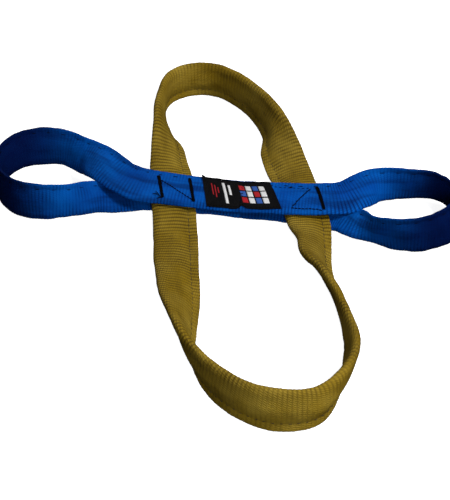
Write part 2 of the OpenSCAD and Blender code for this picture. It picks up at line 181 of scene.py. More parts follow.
class Band:
    """A sling's band: a smooth path with its cross frame, by arc length in millimetres."""

    def __init__(self, stations, full_width, loop, seam_sign):
        self.loop, self.seam = loop, seam_sign
        s = stations.copy()
        s[:, 4] *= full_width
        lean = np.radians(s[:, 3])
        z = s[:, 2] + s[:, 4] / 2 * np.abs(np.sin(lean)) + s[:, 5] / 2 * np.abs(np.cos(lean))
        self.keys = np.column_stack([s[:, 0], s[:, 1], z, s[:, 3], s[:, 4], s[:, 5]])
        last = len(s) if loop else len(s) - 1
        self.t = np.linspace(0, last, last * 60 + 1)
        points = self.values(self.t)[0][:, :3]
        self.s = np.concatenate([[0], np.cumsum(np.linalg.norm(np.diff(points, axis=0), axis=1))])

    def values(self, t):
        """Interpolated stations and their slopes at station numbers t."""
        t = np.asarray(t, float)
        i, n = np.floor(t).astype(int), len(self.keys)
        f = (t - i)[:, None]
        rows = []
        for k in (-1, 0, 1, 2):
            j = (i + k) % n if self.loop else np.clip(i + k, 0, n - 1)
            rows.append(self.keys[j])
        a, b, c, d = rows
        square, cube = 2 * a - 5 * b + 4 * c - d, 3 * b - a - 3 * c + d
        value = 0.5 * (2 * b + (c - a) * f + square * f**2 + cube * f**3)
        slope = 0.5 * ((c - a) + 2 * square * f + 3 * cube * f**2)
        return value, slope

    def at(self, s):
        """Centres, across (to the fold for olive, the seam for blue), normals, widths, thickness."""
        s = np.asarray(s, float)
        if self.loop:
            s = s % self.s[-1]
        value, slope = self.values(np.interp(s, self.s, self.t))
        along = slope[:, :3] / np.linalg.norm(slope[:, :3], axis=1)[:, None]
        out = np.cross(along, [0.0, 0, 1])
        out /= np.linalg.norm(out, axis=1)[:, None]
        up = np.cross(out, along)
        lean = np.radians(value[:, 3])[:, None]
        across = np.cos(lean) * out + np.sin(lean) * up
        return value[:, :3], across, np.cross(along, across), value[:, 4], value[:, 5]

    def reach(self, t0, t1):
        """Arc lengths at two stations; the second is always the further along."""
        s0, s1 = (float(np.interp(t, self.t, self.s)) for t in (t0, t1))
        return s0, s1 if s1 > s0 else s1 + self.s[-1]


olive = Band(OLIVE, OLIVE_W, False, -1)
blue = Band(BLUE, BLUE_W, True, 1)


def smooth_noise(s, q, scale_s, scale_q, seed):
    """Smooth random surface from a few waves, about -1 to 1."""
    rng = np.random.default_rng(seed)
    total = 0
    for _ in range(7):  # waves
        a, b = rng.uniform(0.5, 1.6, 2)
        turns = a * s / scale_s + rng.choice([-1, 1]) * b * q / scale_q
        total = total + np.sin(2 * np.pi * turns + rng.uniform(0, 6.3))
    return total / 3.2


def half_section(width, thick, edge, ply, ridge):
    """Upper half of a jacket's outline from the stitched edge to the fold: distance from the
    edge and half thickness, both as arrays, for one width and thickness."""
    pinch = ply * 0.90
    flange = [(-0.05, 0.25), (-0.22, 0.62 * ply), (0.10, ply * 1.02), (1.1, ply * 1.12),
              (0.35 * edge, ply * 1.20), (0.62 * edge, ply * 1.10), (0.85 * edge, ply * 0.92),
              (edge, pinch)]
    room = width - edge
    rise_x = np.array([0.03, 0.07, 0.12, 0.18, 0.25, 0.33, 0.42])
    rise = np.sin(np.pi / 2 * np.minimum(1, rise_x / 0.42)) ** 0.95
    body = [(edge + room * x, pinch + (thick / 2 - pinch) * r) for x, r in zip(rise_x, rise)]
    body.append((edge + room * 0.5, thick / 2))
    for a in np.radians([14, 24, 34, 44, 53, 61, 68, 74, 79.5, 84]):
        x = 0.5 + 0.5 * math.sin(a) ** (2 / 3.6)
        h = thick / 2 * math.cos(a) ** (2 / 2.2)
        body.append((edge + room * x, h))
    pts = np.array(flange + body)
    # A rolled rim next to the fold with a shallow valley behind it.
    x = (pts[:, 0] - edge) / room
    pts[:, 1] *= 1 - ridge * np.exp(-((x - 0.66) / 0.085) ** 2) * (x > 0)
    return pts


def section(width, thick, edge, ply, ridge, seam):
    """Closed outline (u, v) and the distance q measured round it."""
    half = half_section(width, thick, edge, ply, ridge)
    u = -width / 2 + half[:, 0]
    top = np.column_stack([u, half[:, 1]])
    low = np.column_stack([u[::-1], -half[::-1, 1]])
    outline = np.vstack([[[-width / 2 + 0.35, 0]], top, [[width / 2, 0]], low])
    step = np.linalg.norm(np.diff(np.vstack([outline, outline[:1]]), axis=0), axis=1)
    q = np.concatenate([[0], np.cumsum(step)])
    if seam > 0:
        outline = outline * [-1, 1]
    return outline, q


def make_mesh(name, verts, faces, uvs=None):
    """Mesh object from strap-frame millimetres. uvs is one (u, v) per face corner."""
    mesh = bpy.data.meshes.new(name)
    mesh.from_pydata(to_frame(verts).tolist(), [], faces)
    if uvs is not None:
        layer = mesh.uv_layers.new(name="cloth")
        layer.data.foreach_set("uv", np.asarray(uvs, np.float32).ravel())
    mesh.polygons.foreach_set("use_smooth", [True] * len(mesh.polygons))
    mesh.update()
    obj = bpy.data.objects.new(name, mesh)
    bpy.context.collection.objects.link(obj)
    return obj


def sweep(name, rings, q, s, flip=False):
    """Closed mesh through rings of points, shape (m, n, 3). UV is (along, around) in centimetres."""
    m, n = rings.shape[:2]
    verts = rings.reshape(-1, 3)
    i, j = np.meshgrid(np.arange(m - 1), np.arange(n), indexing="ij")
    i, j = i.ravel(), j.ravel()
    k = (j + 1) % n
    quad = np.column_stack([i * n + j, (i + 1) * n + j, (i + 1) * n + k, i * n + k])
    ua, ub = s[i] / 10, s[i + 1] / 10
    va, vb = q[j] / 10, q[j + 1] / 10
    uv = np.stack([
        np.column_stack([ua, va]), np.column_stack([ub, va]),
        np.column_stack([ub, vb]), np.column_stack([ua, vb]),
    ], axis=1)
    if flip:
        quad, uv = quad[:, ::-1], uv[:, ::-1]
    faces, uvs = quad.tolist(), [uv.reshape(-1, 2)]
    first, last = list(range(n)), [(m - 1) * n + a for a in range(n - 1, -1, -1)]
    if flip:
        first, last = first[::-1], last[::-1]
    faces += [first, last]
    for ring, at in ((first, s[0]), (last, s[-1])):
        uvs.append(np.array([[at / 10, q[a % n] / 10] for a in ring]))
    return make_mesh(name, verts, faces, np.vstack(uvs))


def bump_at(t, middle, half_width):
    """1 at middle falling smoothly to 0 at half_width either side."""
    return np.clip(1 - ((t - middle) / half_width) ** 2, 0, 1) ** 2


def jacket(name, band, edge, ply, t0, t1, pitch, rib, seed, ridge, groove_shade_at, swell=0.45):
    """One length of sling jacket with woven ribs, soft wrinkles and a puckered seam, and the depth of
    the painted shade in its grooves.
    """
    s0, s1 = band.reach(t0, t1)
    per_rib = 4
    count = int(round((s1 - s0) / (pitch / per_rib)))
    s = s0 + np.arange(count + 1) * pitch / per_rib
    centre, across, normal, width, thick = band.at(s)
    station = np.interp(s % band.s[-1] if band.loop else s, band.s, band.t)
    rings, groove_shade_depths = [], []
    q_mid = None
    for i in range(len(s)):
        outline, q = section(width[i], thick[i], edge, ply, ridge(station[i]), band.seam)
        if q_mid is None:
            q_mid = q
        tangent = np.roll(outline, -1, axis=0) - np.roll(outline, 1, axis=0)
        side = np.column_stack([tangent[:, 1], -tangent[:, 0]])
        side /= np.linalg.norm(side, axis=1)[:, None]
        side *= np.sign((side * outline).sum())  # outwards
        qq = q[:-1]
        # Distance from the stitched edge, the same on both faces.
        from_edge = width[i] / 2 + (outline[:, 0] if band.seam < 0 else -outline[:, 0])
        body = np.clip((from_edge - edge) / 6, 0, 1)
        phase = (s[i] / pitch) % 1
        push = rib * (abs(math.sin(math.pi * phase)) ** 0.8 - 0.62)
        push = push * (0.75 + 0.25 * body) * np.ones(len(outline))
        push += swell * 0.55 * body * smooth_noise(s[i], qq, 46, 60, seed)
        push += swell * 0.22 * smooth_noise(s[i], qq, 17, 26, seed + 1)
        # The seam thread draws the edge in a little at each stitch.
        pucker = np.exp(-((from_edge - edge * 0.55) / (edge * 0.5)) ** 2)
        push += 0.16 * pucker * math.sin(2 * math.pi * s[i] / 8.5)
        flat = outline + side * push[:, None]
        flat[:, 0] += 0.22 * math.sin(2 * math.pi * s[i] / 61 + seed) * (from_edge < edge)
        rings.append(centre[i] + flat[:, :1] * across[i] + flat[:, 1:] * normal[i])
        # Depth of the painted shade in the weave's grooves: deep along the rolled rim and on the pulled
        # lengths, where the weave opens up, and shallow elsewhere, where it closes.
        rim = np.exp(-(((width[i] - from_edge) / 9) ** 2))
        groove_shade_depth = groove_shade_at(station[i]) + 0.45 * rim + 0.30 * smooth_noise(s[i], qq, 38, 30, seed + 2)
        groove_shade_depths.append(np.clip(groove_shade_depth, 0.12, 1.0))
    obj = sweep(name, np.array(rings), q_mid, s, flip=band.seam < 0)
    obj.data.attributes.new("groove_shade_depth", "FLOAT", "POINT").data.foreach_set(
        "value", np.concatenate(groove_shade_depths).astype(np.float32))
    return obj


def yarn_core(name, band, edge, t0, t1):
    """The hank of yarn inside a length of jacket, as a plain flattened bundle."""
    s0, s1 = band.reach(t0, t1)
    s = np.linspace(s0, s1, int((s1 - s0) / 5) + 1)
    centre, across, normal, width, thick = band.at(s)
    a = np.linspace(0, 2 * np.pi, 25)[:-1]
    lobes = 1 + 0.06 * np.cos(5 * a)
    rings = []
    for i in range(len(s)):
        u = (edge / 2 + 0.4) * -band.seam + (0.42 * (width[i] - edge) - 1.6) * np.cos(a) * lobes
        v = (thick[i] / 2 - 2.1) * np.sin(a) * lobes
        rings.append(centre[i] + u[:, None] * across[i] + v[:, None] * normal[i])
    return sweep(name, np.array(rings), np.append(a, 2 * np.pi) * 6, s)


def tube_faces(n_rings, n_side, base):
    faces = []
    for i in range(n_rings - 1):
        for j in range(n_side):
            k = (j + 1) % n_side
            faces.append([base + i * n_side + j, base + i * n_side + k,
                          base + (i + 1) * n_side + k, base + (i + 1) * n_side + j])
    faces.append([base + j for j in range(n_side - 1, -1, -1)])
    faces.append([base + (n_rings - 1) * n_side + j for j in range(n_side)])
    return faces


class Threads:
    """Collects short lengths of sewing thread into one mesh."""

    def __init__(self):
        self.verts, self.faces = [], []

    def add(self, points, normals, r, flat=1.0, sides=6):
        points, normals = np.asarray(points, float), np.asarray(normals, float)
        tangent = np.gradient(points, axis=0)
        tangent /= np.linalg.norm(tangent, axis=1)[:, None]
        side = np.cross(normals, tangent)
        side /= np.linalg.norm(side, axis=1)[:, None]
        up = np.cross(tangent, side)
        a = np.linspace(0, 2 * np.pi, sides, endpoint=False)
        n = len(points)
        taper = np.sin(np.pi * (np.arange(n) + 0.5) / n) ** 0.35
        base = len(self.verts)
        for p, w, u, k in zip(points, side, up, taper):
            for x in a:
                self.verts.append(p + k * r * (math.cos(x) * w + flat * math.sin(x) * u))
        self.faces += tube_faces(n, sides, base)

    def build(self, name):
        return make_mesh(name, np.array(self.verts), self.faces)


def seam_stitches(name, band, edge, t0, t1, pitch, share, r, face_offset):
    """Running stitches on both faces of the flat edge. share is the part of each pitch that
    is covered by thread, as a function of the station."""
    s0, s1 = band.reach(t0, t1)
    threads = Threads()
    at = s0
    while at + pitch < s1:
        for face, shift in ((1, 0.0), (-1, 0.5)):
            station = float(np.interp(at % band.s[-1], band.s, band.t))
            long = pitch * share(station) * RNG.uniform(0.9, 1.08)
            s = at + pitch * shift + np.linspace(0, long, 7)
            if s[-1] > s1:
                continue
            centre, across, normal, width, _ = band.at(s)
            u = band.seam * (width / 2 - edge) + RNG.uniform(-0.15, 0.15)
            lift = np.sin(np.linspace(0, np.pi, 7)) ** 0.5
            v = face * (face_offset - 0.45 + 0.75 * lift)
            threads.add(centre + u[:, None] * across + v[:, None] * normal, face * normal, r)
        at += pitch * RNG.uniform(0.97, 1.03)
    return threads.build(name)


# ---------------------------------------------------------------- materials


class Nodes:
    """Short way to build a material's node tree."""

    def __init__(self, name):
        self.mat = bpy.data.materials.new(name)
        self.mat.use_nodes = True
        self.tree = self.mat.node_tree
        self.bsdf = self.tree.nodes["Principled BSDF"]

    def node(self, kind, **settings):
        n = self.tree.nodes.new(kind)
        for key, value in settings.items():
            setattr(n, key, value)
        return n

    def link(self, a, b):
        self.tree.links.new(a, b)

    def math(self, op, a, b=None, c=None, clamp=False):
        n = self.node("ShaderNodeMath", operation=op, use_clamp=clamp)
        for i, x in enumerate((a, b, c)):
            if x is None:
                continue
            if isinstance(x, (int, float)):
                n.inputs[i].default_value = x
            else:
                self.link(x, n.inputs[i])
        return n.outputs[0]

    def mix(self, factor, a, b, blend="MIX"):
        n = self.node("ShaderNodeMix", data_type="RGBA", blend_type=blend)
        for socket, x in ((n.inputs["Factor"], factor), (n.inputs[6], a), (n.inputs[7], b)):
            if isinstance(x, (int, float)):
                socket.default_value = x
            elif isinstance(x, tuple):
                socket.default_value = (*x, 1)
            else:
                self.link(x, socket)
        return n.outputs[2]

    def noise(self, vector, scale, detail):
        n = self.node("ShaderNodeTexNoise")
        n.inputs["Scale"].default_value = scale
        n.inputs["Detail"].default_value = detail
        n.inputs["Roughness"].default_value = 0.55
        self.link(vector, n.inputs["Vector"])
        return n.outputs["Fac"]

    def ramp(self, value, low, high, top=1.0, shape="LINEAR"):
        """0 where value is low, rising to top where it is high."""
        n = self.node("ShaderNodeMapRange", interpolation_type=shape)
        n.inputs["From Min"].default_value = low
        n.inputs["From Max"].default_value = high
        n.inputs["To Max"].default_value = top
        self.link(value, n.inputs["Value"])
        return n.outputs[0]

    def split(self, vector):
        n = self.node("ShaderNodeSeparateXYZ")
        self.link(vector, n.inputs[0])
        return n.outputs

    def bump(self, height, strength, distance):
        n = self.node("ShaderNodeBump")
        n.inputs["Strength"].default_value = strength
        n.inputs["Distance"].default_value = distance
        self.link(height, n.inputs["Height"])
        return n.outputs["Normal"]


def woven(name, base, dark, light, pitch_mm, bead_mm, rough, groove, bump, bead_depth, gloss, fold_shade_amount,
          shade_ends_from=None):
    """Ribbed tubular weave. UV is (along, around) in centimetres. groove and bead_depth are how far the
    painted shade in the grooves and between the beads goes to dark, and fold_shade_amount how far the
    painted shade in long fold streaks does; shade_ends_from is where the painted shade towards the ends
    starts and is full, in metres."""
    n = Nodes(name)
    uv = n.node("ShaderNodeUVMap", uv_map="cloth").outputs["UV"]
    place = n.node("ShaderNodeTexCoord").outputs["Object"]
    along, around, _ = n.split(uv)
    rows = n.math("MULTIPLY", along, 10 / pitch_mm)
    row = n.math("FLOOR", rows)
    odd = n.math("MODULO", row, 2.0)
    # Rib height: 0 in the groove between two rows, 1 on the row's crown.
    rib = n.math("ABSOLUTE", n.math("SINE", n.math("MULTIPLY", rows, math.pi)))
    beads = n.math("MULTIPLY_ADD", around, 10 / bead_mm, n.math("MULTIPLY", odd, 0.5))
    slant = n.math("ADD", beads, n.math("MULTIPLY", n.math("FRACT", rows), 0.8))
    bead = n.math("ABSOLUTE", n.math("SINE", n.math("MULTIPLY", slant, math.pi)))
    weave = n.math("MULTIPLY", n.math("POWER", rib, 0.6), n.math("POWER", bead, 0.5))
    fibre = n.noise(uv, 220.0, 2.0)
    cloudy = n.noise(place, 26.0, 3.0)
    blotch = n.noise(place, 9.0, 2.0)
    groove_shade_depth = n.node("ShaderNodeAttribute", attribute_name="groove_shade_depth").outputs["Fac"]
    depth = n.math("MULTIPLY", groove_shade_depth, groove)
    groove_shade = n.math("SUBTRACT", 1.0, n.math("MULTIPLY", depth, n.math("SUBTRACT", 1.0, rib)))
    bead_gap = n.math("MULTIPLY", groove_shade_depth, n.math("SUBTRACT", 1.0, n.math("POWER", bead, 0.6)))
    bead_shade = n.math("MULTIPLY_ADD", bead_gap, -bead_depth, 1.0)
    shade = n.math("MULTIPLY", groove_shade, bead_shade)
    # Painted shade in long streaks along the jacket, standing in for the shade of its lengthwise folds.
    long_way = n.node("ShaderNodeVectorMath", operation="MULTIPLY")
    long_way.inputs[1].default_value = (0.10, 0.55, 1.0)
    n.link(uv, long_way.inputs[0])
    fold_shade_mask = n.ramp(n.noise(long_way.outputs[0], 1.6, 2.0), 0.46, 0.72, fold_shade_amount, "SMOOTHSTEP")
    colour = n.mix(n.ramp(cloudy, 0.35, 0.68), base, light)
    colour = n.mix(n.ramp(blotch, 0.50, 0.80, 0.55), colour, dark)  # soiled patches
    # Painted shade in the grooves between the rows and in the gaps between the beads.
    colour = n.mix(n.math("SUBTRACT", 1.0, shade, clamp=True), colour, dark)
    colour = n.mix(fold_shade_mask, colour, dark)
    if shade_ends_from:
        # Painted shade towards the far ends of the strap, growing with the distance from the middle.
        from_middle = n.math("ABSOLUTE", n.split(place)[0])
        reach = n.math("MULTIPLY_ADD", cloudy, 0.02, from_middle)
        colour = n.mix(n.ramp(reach, *shade_ends_from, 0.95, "SMOOTHSTEP"), colour, dark)
    colour = n.mix(n.ramp(fibre, 0.55, 0.85, 0.5), colour, light)  # lighter single fibres, together with painted glints on the fibres
    n.link(colour, n.bsdf.inputs["Base Color"])
    rough_out = n.math("MULTIPLY_ADD", fibre, 0.16, rough - 0.08)
    n.link(rough_out, n.bsdf.inputs["Roughness"])
    height = n.math("MULTIPLY_ADD", fibre, 0.25, weave)
    n.link(n.bump(height, bump, 0.0006), n.bsdf.inputs["Normal"])
    n.bsdf.inputs["Specular IOR Level"].default_value = gloss
    return n.mat


def thread_material(name, base, light, gloss=0.12):
    n = Nodes(name)
    place = n.node("ShaderNodeTexCoord").outputs["Object"]
    twist = n.noise(place, 1800.0, 2.0)
    n.link(n.mix(twist, base, light), n.bsdf.inputs["Base Color"])
    n.link(n.math("MULTIPLY_ADD", twist, 0.2, 0.5), n.bsdf.inputs["Roughness"])
    n.link(n.bump(twist, 0.4, 0.0002), n.bsdf.inputs["Normal"])
    n.bsdf.inputs["Specular IOR Level"].default_value = gloss
    return n.mat


def label_material(name, base, light):
    n = Nodes(name)
    uv = n.node("ShaderNodeUVMap", uv_map="cloth").outputs["UV"]
    along, over, _ = n.split(uv)
    a = n.math("SINE", n.math("MULTIPLY", along, 10 / 0.55 * 2 * math.pi))
    b = n.math("SINE", n.math("MULTIPLY", over, 10 / 0.45 * 2 * math.pi))
    knots = n.math("MULTIPLY_ADD", n.math("MULTIPLY", a, b), 0.5, 0.5)
    fuzz = n.noise(uv, 60.0, 3.0)
    n.link(n.mix(n.math("MULTIPLY", knots, fuzz), base, light), n.bsdf.inputs["Base Color"])
    n.link(n.math("MULTIPLY_ADD", fuzz, 0.25, 0.5), n.bsdf.inputs["Roughness"])
    n.link(n.bump(knots, 0.35, 0.0002), n.bsdf.inputs["Normal"])
    n.bsdf.inputs["Specular IOR Level"].default_value = 0.05
    return n.mat


OLIVE_PITCH, BLUE_PITCH = 3.8, 3.0  # rows of weave, mm
# Weaves with painted shade in their grooves and in long streaks of fold shade.
OLIVE_CLOTH = woven("olive_weave", (0.222, 0.140, 0.006), (0.036, 0.020, 0.001), (0.325, 0.222, 0.026),
                    OLIVE_PITCH, 2.0, 0.75, groove=0.95, bump=0.8, bead_depth=0.30, gloss=0.08,
                    fold_shade_amount=0.25)
# The blue weave also gets painted shade towards the strap's far ends.
BLUE_CLOTH = woven("blue_weave", (0.0000, 0.056, 0.325), (0.0000, 0.002, 0.034), (0.0005, 0.090, 0.420),
                   BLUE_PITCH, 2.1, 0.70, groove=0.85, bump=0.7, bead_depth=0.25, gloss=0.03,
                   fold_shade_amount=0.55, shade_ends_from=(0.152, 0.206))
YARN = thread_material("yarn", (0.75, 0.73, 0.66), (0.85, 0.83, 0.78))
OLIVE_THREAD = thread_material("olive_seam_thread", (0.030, 0.022, 0.010), (0.075, 0.055, 0.025))
BLACK_THREAD = thread_material("black_thread", (0.0003, 0.0003, 0.0006), (0.002, 0.002, 0.003),
                               gloss=0.02)
LABEL_BLACK = label_material("label_black", (0.0005, 0.0005, 0.001), (0.006, 0.006, 0.007))
LABEL_WHITE = label_material("label_white", (0.55, 0.56, 0.58), (0.80, 0.80, 0.80))
LABEL_RED = label_material("label_red", (0.30, 0.010, 0.015), (0.48, 0.03, 0.04))
LABEL_BLUE = label_material("label_blue", (0.02, 0.07, 0.30), (0.06, 0.15, 0.45))


def paint(obj, *mats):
    for m in mats:
        obj.data.materials.append(m)
    return obj


# ---------------------------------------------------------------- the jackets


def bend(obj):
    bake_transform(obj)


SPLIT = 15.0  # station under the left crossing where the olive pieces meet
OLIVE_LAST = len(OLIVE) - 1.0
BLUE_JOINT = 41.0 - 0.18  # stations where the blue halves meet, above and below
BLUE_JOINT_LOW = 21.0 + 0.18
OLIVE_PLY, BLUE_PLY = 1.15, 1.0  # thickness of one ply, mm
OLIVE_RIB, BLUE_RIB = 0.32, 0.24  # height of the ribs, mm
BLUE_SWELL = 0.7  # height of the wrinkles, mm

# The second curve given to each jacket sets how deep the painted shade in its grooves is along it, by
# station.
olive_far = jacket("olive_jacket_far_bend", olive, OLIVE_EDGE, OLIVE_PLY, 0.02, SPLIT, OLIVE_PITCH,
                   OLIVE_RIB, 11, ridge=lambda t: 0.12 + 0.22 * bump_at(t, 5.0, 3.0),
                   groove_shade_at=lambda t: 0.12 + 0.85 * bump_at(t, 0.0, 5.5) + 0.85 * bump_at(t, 15.0, 5.5))
olive_near = jacket("olive_jacket_near_bend", olive, OLIVE_EDGE, OLIVE_PLY, SPLIT, OLIVE_LAST - 0.02,
                    OLIVE_PITCH, OLIVE_RIB, 23,
                    ridge=lambda t: 0.12 + 0.38 * bump_at(t, 21.5, 4.5) + 0.25 * bump_at(t, 31.5, 3.0),
                    groove_shade_at=lambda t: 0.10 + 0.85 * bump_at(t, 17.0, 6.0) + 0.9 * bump_at(t, 34.5, 5.0))
for obj in (olive_far, olive_near):
    paint(obj, OLIVE_CLOTH)
blue_left = jacket("blue_jacket_left_half", blue, BLUE_EDGE, BLUE_PLY, BLUE_JOINT, BLUE_JOINT_LOW,
                   BLUE_PITCH, BLUE_RIB, 37, ridge=lambda t: 0.12,
                   groove_shade_at=lambda t: 0.25 + 0.35 * bump_at(t, 11.5, 2.5), swell=BLUE_SWELL)
blue_right = jacket("blue_jacket_right_half", blue, BLUE_EDGE, BLUE_PLY, BLUE_JOINT_LOW, BLUE_JOINT,
                    BLUE_PITCH, BLUE_RIB, 51, ridge=lambda t: 0.12, swell=BLUE_SWELL,
                    groove_shade_at=lambda t: 0.25 + 0.35 * bump_at(t, 29.5, 2.0) + 0.5 * bump_at(t, 37.0, 1.5))
for obj in (blue_left, blue_right):
    paint(obj, BLUE_CLOTH)
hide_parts("olive_jacket_far", "olive_jacket_lap_far")
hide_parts("olive_jacket_near", "olive_jacket_left", "olive_jacket_lap_near")
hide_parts("blue_jacket_left_eye", "blue_jacket_top_left", "blue_jacket_bottom")
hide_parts("blue_jacket_right_eye", "blue_jacket_top_right")

# ---------------------------------------------------------------- things sewn on the strap

strap_tree = []
for obj in (blue_left, blue_right):
    mesh = obj.data
    co = np.empty(len(mesh.vertices) * 3)
    mesh.vertices.foreach_get("co", co)
    co = co.reshape(-1, 3) / MM - STRAP_ORIGIN
    strap_tree.append(BVHTree.FromPolygons(co.tolist(), [p.vertices[:] for p in mesh.polygons]))


def on_strap(x, y):
    """Highest point of the strap at x, y, and the normal there."""
    best = None
    for tree in strap_tree:
        hit, normal, _, _ = tree.ray_cast(Vector((x, y, 60)), Vector((0, 0, -1)))
        if hit is not None and (best is None or hit.z > best[0][2]):
            best = (np.array(hit), np.array(normal))
    return best if best is not None else (np.array([x, y, 14.0]), np.array([0, 0, 1.0]))


def laid_line(a, b, count, lift):
    """Points on the strap from a to b raised by lift."""
    a, b = np.array(a, float), np.array(b, float)
    pts = [on_strap(*(a + (b - a) * f)) for f in np.linspace(0, 1, count)]
    raised = np.array([p[0] for p in pts]) + np.array([[0, 0, lift]])
    return raised, np.tile([0, 0, 1.0], (count, 1))


def running_stitch(threads, a, b, pitch, share, r, wander=0.2):
    a, b = np.array(a, float), np.array(b, float)
    long = np.linalg.norm(b - a)
    way = (b - a) / long
    side = np.array([-way[1], way[0]])
    for k in range(int(long / pitch)):
        p = a + way * (k + 0.1) * pitch + side * RNG.uniform(-wander, wander)
        e = p + way * pitch * share + side * RNG.uniform(-wander, wander)
        pts, up = laid_line(p, e, 6, 0)
        pts[:, 2] += -0.25 + 0.55 * np.sin(np.linspace(0, np.pi, 6)) ** 0.5
        threads.add(pts, up, r)


TACK_WIDTH, TACK_PITCH, TACK_THREAD = 3.4, 0.62, 0.34  # mm; the last is the thread's radius


def bar_tack(threads, a, b):
    """Dense zigzag of thread across a line."""
    a, b = np.array(a, float), np.array(b, float)
    long = np.linalg.norm(b - a)
    way = (b - a) / long
    side = np.array([-way[1], way[0]])
    core, up = laid_line(a, b, 14, 0.15)
    threads.add(core, up, TACK_WIDTH * 0.36, flat=0.6)
    count = int(long / TACK_PITCH)
    for k in range(count):
        mid = a + way * (k + 0.5) / count * long
        skew = 0.22 * (1 if k % 2 else -1)
        half = TACK_WIDTH / 2 * RNG.uniform(0.85, 1.1)
        p = mid - side * half - way * skew
        e = mid + side * half + way * skew
        pts, up = laid_line(p, e, 6, 0)
        pts[:, 2] += -0.15 + 0.75 * np.sin(np.linspace(0, np.pi, 6)) ** 0.6
        threads.add(pts, up, TACK_THREAD)


def sew(name, mat, nodes, build):
    threads = Threads()
    build(threads)
    obj = paint(threads.build(name), mat)
    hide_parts(*nodes)
    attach(obj, "sewn_centre")
    return obj


sew("tack_left_outer", BLACK_THREAD, ["bar_tack_left_outer"],
    lambda t: bar_tack(t, (-64.3, 15.5), (-55.8, -15.3)))
sew("tack_left_inner", BLACK_THREAD, ["bar_tack_left_inner"],
    lambda t: bar_tack(t, (-35.5, 17.5), (-27.0, -16.0)))
sew("tack_right", BLACK_THREAD, ["bar_tack_right"],
    lambda t: bar_tack(t, (83.2, 16.3), (92.3, -16.0)))
sew("cross_left", BLACK_THREAD, ["cross_stitch_left"],
    lambda t: running_stitch(t, (-60.7, 8.5), (-29.0, -14.0), 3.2, 0.86, 0.62))


def right_cross(t):
    running_stitch(t, (77.8, 12.5), (62.0, -14.6), 3.2, 0.88, 0.62)
    running_stitch(t, (44.0, 15.0), (81.0, 14.0), 4.2, 0.6, 0.32)
    running_stitch(t, (62.0, -14.8), (91.5, -17.0), 3.2, 0.85, 0.55)
    running_stitch(t, (58.5, 15.2), (60.5, 15.6), 1.0, 1.4, 0.7)


sew("cross_right", BLACK_THREAD, ["cross_stitch_right"], right_cross)


def tails(t):
    for a, b in (((-58.5, -13.0), (-65.5, -11.0)), ((-58.0, -14.5), (-63.5, -7.5)),
                 ((-57.0, -15.5), (-61.0, -17.0))):
        pts, up = laid_line(a, b, 8, 0.3)
        pts[:, 2] += 0.9 * np.sin(np.linspace(0, np.pi * 0.8, 8))
        t.add(pts, up, 0.42)


sew("thread_ends", BLACK_THREAD, ["thread_tails"], tails)

# The label: corners far left, far right, near right, near left.
LABEL = np.array([[-24.5, 22.0], [39.5, 21.3], [54.0, -17.8], [-14.5, -20.0]])
LABEL_THICK = 0.7  # mm
MARKS_LOW, MARKS_HIGH = 0.62, 0.80  # heights of the marks, which are sunk in the label, mm
TUCK_AT = 0.47  # where along the near edge the label is drawn in
STRAP_NEAR, STRAP_FAR = -19.0, 20.0  # the strap's usable edges under the label, mm


def label_xy(a, b):
    """a runs along the strap and b from the far to the near edge, both 0 to 1."""
    far = LABEL[0] + (LABEL[1] - LABEL[0]) * a
    near = LABEL[3] + (LABEL[2] - LABEL[3]) * a
    return far + (near - far) * b


def label_lift(a, b):
    """How far the label stands off the strap: its far edge waves and its near edge has a tuck."""
    wave = 0.5 * math.exp(-b / 0.05) * (1 + math.sin(7 * a + 0.6))
    corner = 2.2 * math.exp(-((a / 0.045) ** 2 + (b / 0.09) ** 2))
    tuck = 1.1 * math.exp(-(((a - TUCK_AT) / 0.05) ** 2 + ((b - 1) / 0.12) ** 2))
    loose = 0.35 * math.exp(-(1 - b) / 0.05)
    return 0.15 + wave + corner + tuck + loose


def label_point(a, b, h):
    x, y = label_xy(a, b)
    y_in = min(max(y, STRAP_NEAR), STRAP_FAR)
    p, normal = on_strap(x, y_in)
    droop = 0.25 * abs(y - y_in)
    p = np.array([x, y, p[2] - droop])
    # The near edge is drawn in at the tuck.
    if b > 0.85:
        p[1] += 2.4 * (b - 0.85) / 0.15 * math.exp(-(((a - TUCK_AT) / 0.035) ** 2))
    return p + [0, 0, label_lift(a, b) + h]


def label_sheet(name, patches, low, high, mats):
    """Closed sheets over parts of the label. patches: (a0, a1, b0, b1, cols, rows, material)."""
    verts, faces, uvs, slots = [], [], [], []
    for a0, a1, b0, b1, cols, rows, slot in patches:
        base, size = len(verts), (cols + 1) * (rows + 1)
        flat = []
        for h in (low, high):
            for i in range(cols + 1):
                for j in range(rows + 1):
                    a, b = a0 + (a1 - a0) * i / cols, b0 + (b1 - b0) * j / rows
                    verts.append(label_point(a, b, h))
                    flat.append((a * 6.6, b * 4.0))

        def at(layer, i, j):
            return layer * size + i * (rows + 1) + j

        quads = []
        for i in range(cols):
            for j in range(rows):
                quads.append([at(1, i, j), at(1, i, j + 1), at(1, i + 1, j + 1), at(1, i + 1, j)])
                quads.append([at(0, i, j), at(0, i + 1, j), at(0, i + 1, j + 1), at(0, i, j + 1)])
        for i in range(cols):
            quads.append([at(0, i, 0), at(1, i, 0), at(1, i + 1, 0), at(0, i + 1, 0)])
            quads.append([at(0, i, rows), at(0, i + 1, rows), at(1, i + 1, rows), at(1, i, rows)])
        for j in range(rows):
            quads.append([at(0, 0, j), at(0, 0, j + 1), at(1, 0, j + 1), at(1, 0, j)])
            quads.append([at(0, cols, j), at(1, cols, j), at(1, cols, j + 1), at(0, cols, j + 1)])
        for quad in quads:
            faces.append([base + k for k in quad[::-1]])
            uvs += [flat[k] for k in quad[::-1]]
            slots.append(slot)
    obj = make_mesh(name, np.array(verts), faces, uvs)
    paint(obj, *mats)
    obj.data.polygons.foreach_set("material_index", slots)
    return obj


label = label_sheet("label_cloth", [(0, 1, 0, 1, 96, 56, 0)], 0.0, LABEL_THICK, [LABEL_BLACK])
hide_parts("label")
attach(label, "sewn_centre")

